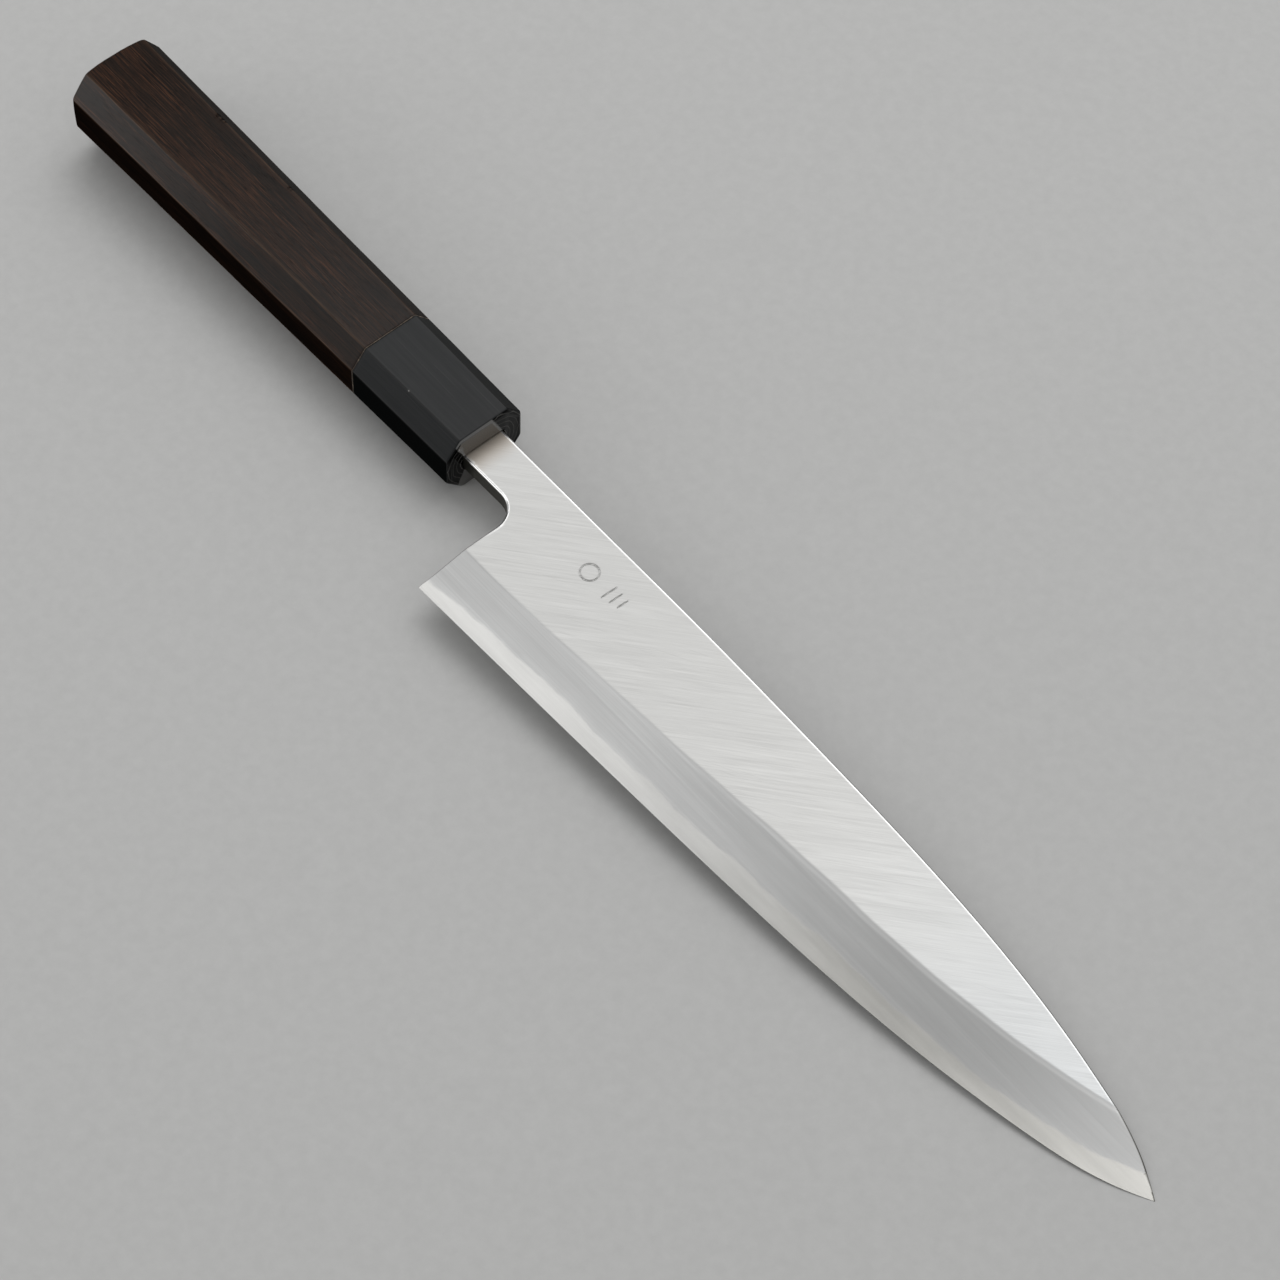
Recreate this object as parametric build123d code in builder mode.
from build123d import *
from math import atan2, degrees
import os

# Japanese-pattern chef knife, drawn in the knife's own frame and laid on the table at the end.
# Knife frame, mm: the origin is the middle of the ferrule's front face. +X runs along the handle's axis to
# the tip, +Y points from the cutting edge to the spine, +Z is the side that faces up when the knife lies.

# Handle, measured at the butt; every section further forward is the same octagon, smaller
handle_length = 143.8
butt_width = 26.6          # across the handle in the blade's plane
butt_height = 22.2         # through the handle, from one flat side to the other
butt_corner_y = 4.9        # how far each chamfered corner reaches along the width
butt_corner_z = 6.0        # and along the height
front_scale = 0.858        # size of the front section as a share of the butt section
ridge_radius = 0.5         # the hand-softened long ridges
butt_ease = 1.0
ferrule_ease = 0.9

# Handle joint
ferrule_length = 34.9
glue_thickness = 0.25
dowel_diameter = 12.6
dowel_length = 91.0
dowel_start = -8.0         # back of the ferrule's solid front wall
slot_clearance = 0.25
slot_run = 1.0             # the slot's cut starts this far ahead of the ferrule and ends well inside the bore

# Blade: san-mai sheet, thickest at the ferrule
neck_half = 2.6            # half thickness where blade and tang meet
tip_half = 0.6             # half thickness of the flats, carried on to the tip
tang_half = 1.4            # half thickness at the tang's end
core_neck_half = 0.66      # half thickness of the hard core at the ferrule
core_tip_half = 0.25       # and at the tip: forging draws it out with the rest
edge_half = 0.05           # half thickness left at the cutting edge
plane_change = 0.8         # where the flats end, just in front of the ferrule
spine_ease = 0.45          # eased corner along the spine, neck and choil
stock_margin = 0.3         # extra half thickness of the sheet before the flats are cut

spine_y = 5.4
spine_straight = 60.0      # the spine runs straight this far, then falls to the tip
spine_fall = [(98.0, 4.88), (127.0, 4.12), (166.0, 2.0), (198.4, -2.1)]
kink_slope = (1, -0.22)    # the spine's direction where the main curve ends
neck_y = -6.35
heel_x = 19.6
choil_radius = 6.5
heel_y = -36.5
heel = (heel_x, heel_y)
tip = (238.6, -15.0)
tip_kink = (219.0, -6.3)
tip_middle = (230.0, -10.3)
tip_slopes = [(1, -0.3), (1, -0.6)]

# Along the blade: distance from the ferrule, height of the cutting edge, height of the ridge above the bevel
heel_station = (heel_x, heel_y, -22.7)
quarter_station = (55.0, -35.7, -21.6)
third_station = (98.0, -34.6, -19.1)
middle_station = (140.0, -32.9, -16.3)
belly_station = (178.0, -29.8, -13.8)
front_station = (209.3, -24.9, -8.3)
tip_station = (230.0, -19.2, -2.5)
belly = [quarter_station, third_station, middle_station, belly_station, front_station, tip_station]
before_heel = (8.0, -36.8, -23.0)
beyond_tip = (242.0, -13.0, 2.2)
bevel_overrun = 4.0        # the bevel's cut is carried past the edge
cut_top = 6.0              # cuts reach well clear of the steel
cut_beyond = 10.0          # and past both ends of the steel
cut_across = 60.0          # and well past the spine and the edge

# Tang, a tapering tongue inside the dowel
tang_length = 96.0
tang_end_half_width = 2.2
tang_end_round = 1.2
shoulder_x = -6.0          # the neck keeps nearly its full width this far inside the ferrule
shoulder_step = 0.2
tang_neck_x = -9.0
tang_neck_low = -4.3
tang_neck_high = 4.0


def section_scale(x):
    """Size of the handle's octagon at x, as a share of the butt section."""
    return 1.0 + (front_scale - 1.0) * (x + handle_length) / handle_length


def outline_across(x, corners):
    """A face across the knife's axis at x, from corners given as (y, z)."""
    with BuildSketch(Plane(origin=(x, 0, 0), x_dir=(0, 1, 0), z_dir=(1, 0, 0))) as section:
        with BuildLine():
            Polyline(*corners, close=True)
        make_face()
    return section.sketch


def octagon(x):
    """The handle's section at x."""
    size = section_scale(x)
    half_y = size * butt_width / 2
    half_z = size * butt_height / 2
    flat_y = half_y - size * butt_corner_y
    flat_z = half_z - size * butt_corner_z
    corners = [
        (half_y, flat_z),
        (flat_y, half_z),
        (-flat_y, half_z),
        (-half_y, flat_z),
        (-half_y, -flat_z),
        (-flat_y, -half_z),
        (flat_y, -half_z),
        (half_y, -flat_z),
    ]
    return outline_across(x, corners)


def tapered_grip(x_back, x_front, end=0, ease=0.0):
    """A length of the tapering handle with softened ridges; end says which face is eased, -1 the front."""
    loft([octagon(x_back), octagon(x_front)], ruled=True)
    if ease > 0:
        chamfer(faces().sort_by(Axis.X)[end].edges(), ease)
    shortest_ridge = x_front - x_back - 2 * ease
    long_ridges = [edge for edge in edges() if edge.bounding_box().size.X > shortest_ridge]
    fillet(long_ridges, ridge_radius)


def round_bore(x_back, x_front, diameter):
    """Remove a round hole on the handle's axis."""
    with BuildSketch(Plane(origin=(x_back, 0, 0), x_dir=(0, 1, 0), z_dir=(1, 0, 0))) as mouth:
        Circle(diameter / 2)
    extrude(mouth.sketch, amount=x_front - x_back, mode=Mode.SUBTRACT)


def bevel_section(station, side):
    """One section of the wedge that is ground away to leave the wide bevel."""
    x, edge_y, ridge_y = station
    reach = plane_change - x
    ridge_z = neck_half + (neck_half - tip_half) * reach / (tip[0] - plane_change)
    slope = (ridge_z - edge_half) / (ridge_y - edge_y)
    low_y = edge_y - bevel_overrun
    low_z = edge_half - slope * bevel_overrun
    corners = [
        (ridge_y, side * ridge_z),
        (low_y, side * low_z),
        (low_y, side * cut_top),
        (ridge_y, side * cut_top),
    ]
    return outline_across(x, corners)


def bevel_cut(side):
    """Grind the wide bevel on one side, +1 for the upper side and -1 for the underside."""
    stations = [before_heel, heel_station, *belly, beyond_tip]
    loft([bevel_section(station, side) for station in stations], mode=Mode.SUBTRACT)


def flats_cut(side):
    """Thin the steel towards the tip and towards the tang's end, leaving plane faces."""
    back_x = -tang_length - cut_beyond
    front_x = tip[0] + cut_beyond
    outline = [
        (back_x, side * tang_half),
        (plane_change, side * neck_half),
        (tip[0], side * tip_half),
        (front_x, side * tip_half),
        (front_x, side * cut_top),
        (back_x, side * cut_top),
    ]
    with BuildSketch(Plane.XZ) as waste:
        with BuildLine():
            Polyline(*outline, close=True)
        make_face()
    extrude(waste.sketch, amount=cut_across, both=True, mode=Mode.SUBTRACT)


# Blade and tang in one piece, before it is told apart into its three layers
spine_end = (spine_straight, spine_y)
choil_low = (heel_x, neck_y - choil_radius)
choil_high = (heel_x - choil_radius, neck_y)
neck_low = (0, neck_y)
neck_high = (0, spine_y)
shoulder_low = (shoulder_x, neck_y + shoulder_step)
shoulder_high = (shoulder_x, spine_y - shoulder_step)
tang_low = (tang_neck_x, tang_neck_low)
tang_high = (tang_neck_x, tang_neck_high)
tang_end_low = (-tang_length, -tang_end_half_width)
tang_end_high = (-tang_length, tang_end_half_width)
edge_points = [station[:2] for station in reversed(belly)]
with BuildPart() as forged_blade:
    with BuildSketch():
        with BuildLine():
            Line(neck_high, spine_end)
            Spline(spine_end, *spine_fall, tip_kink, tangents=[(1, 0), kink_slope])
            Spline(tip_kink, tip_middle, tip, tangents=tip_slopes)
            Spline(tip, *edge_points, heel)
            Line(heel, choil_low)
            RadiusArc(choil_low, choil_high, -choil_radius)
            Polyline(choil_high, neck_low, shoulder_low, tang_low, tang_end_low)
            ThreePointArc(tang_end_low, (-tang_length - tang_end_round, 0), tang_end_high)
            Polyline(tang_end_high, tang_high, shoulder_high, neck_high)
        make_face()
    extrude(amount=neck_half + stock_margin, both=True)
    for side in (1, -1):
        flats_cut(side)
    # the outline's upper and lower edges, without its upright corners and without the cutting edge
    lying = [edge for edge in edges() if edge.bounding_box().size.Z < tip_half]
    outline_edges = [edge for edge in lying if edge.center().X > plane_change and edge.center().Y > heel_y]
    chamfer(outline_edges, spine_ease)
    for side in (1, -1):
        bevel_cut(side)

core_taper = (core_neck_half - core_tip_half) / tip[0]
upper_weld = Plane(origin=(0, 0, core_neck_half), x_dir=(1, 0, -core_taper), z_dir=(core_taper, 0, 1))
lower_weld = Plane(origin=(0, 0, -core_neck_half), x_dir=(1, 0, core_taper), z_dir=(-core_taper, 0, 1))

with BuildPart() as front_cladding:
    add(forged_blade.part)
    split(bisect_by=upper_weld, keep=Keep.TOP)

with BuildPart() as core_steel:
    add(forged_blade.part)
    split(bisect_by=upper_weld, keep=Keep.BOTTOM)
    split(bisect_by=lower_weld, keep=Keep.TOP)

with BuildPart() as back_cladding:
    add(forged_blade.part)
    split(bisect_by=lower_weld, keep=Keep.BOTTOM)

# Buffalo-horn ferrule: slotted front wall, round bore behind it
with BuildPart() as horn_ferrule:
    tapered_grip(-ferrule_length, 0, end=-1, ease=ferrule_ease)
    round_bore(-ferrule_length, dowel_start, dowel_diameter)
    with BuildSketch(Plane(origin=(slot_run, 0, 0), x_dir=(0, 1, 0), z_dir=(1, 0, 0))):
        with Locations(((spine_y + neck_y) / 2, 0)):
            Rectangle(spine_y - neck_y + 2 * slot_clearance, 2 * (neck_half + slot_clearance))
    extrude(amount=dowel_start - 2 * slot_run, mode=Mode.SUBTRACT)

# Glue film between horn and ebony
glue_back = -ferrule_length - glue_thickness
with BuildPart() as joint_glue:
    tapered_grip(glue_back, -ferrule_length)
    round_bore(glue_back, -ferrule_length, dowel_diameter)

# Ebony grip, bored from its front end
dowel_end = dowel_start - dowel_length
with BuildPart() as ebony_handle:
    tapered_grip(-handle_length, glue_back, end=0, ease=butt_ease)
    round_bore(dowel_end, glue_back, dowel_diameter)

# Magnolia dowel across the joint, slotted for the tang
with BuildPart() as tang_dowel:
    with BuildSketch(Plane(origin=(dowel_end, 0, 0), x_dir=(0, 1, 0), z_dir=(1, 0, 0))):
        Circle(dowel_diameter / 2)
    extrude(amount=dowel_length)
    add(forged_blade.part, mode=Mode.SUBTRACT)

# The balance point is ahead of the ferrule, so a knife laid down tips forward until it stands on the
# ferrule's lower front edge and the tip. The parts are left in that pose, centred over the table, Z = 0.
pieces = {
    "front_cladding": front_cladding,
    "core_steel": core_steel,
    "back_cladding": back_cladding,
    "horn_ferrule": horn_ferrule,
    "joint_glue": joint_glue,
    "ebony_handle": ebony_handle,
    "tang_dowel": tang_dowel,
}
ferrule_underside = section_scale(-ferrule_ease) * butt_height / 2
rest_pitch = degrees(atan2(ferrule_underside - edge_half, tip[0] + ferrule_ease))
tipped = Rotation(0, rest_pitch, 0)
for piece in pieces.values():
    piece.part.move(tipped)
knife_box = Compound([piece.part for piece in pieces.values()]).bounding_box()
on_table = Location((-knife_box.center().X, -knife_box.center().Y, -knife_box.min.Z))

os.makedirs("parts", exist_ok=True)
for label, piece in pieces.items():
    piece.part.move(on_table)
    piece.part.label = label
    export_step(piece.part, f"parts/{label}.step")
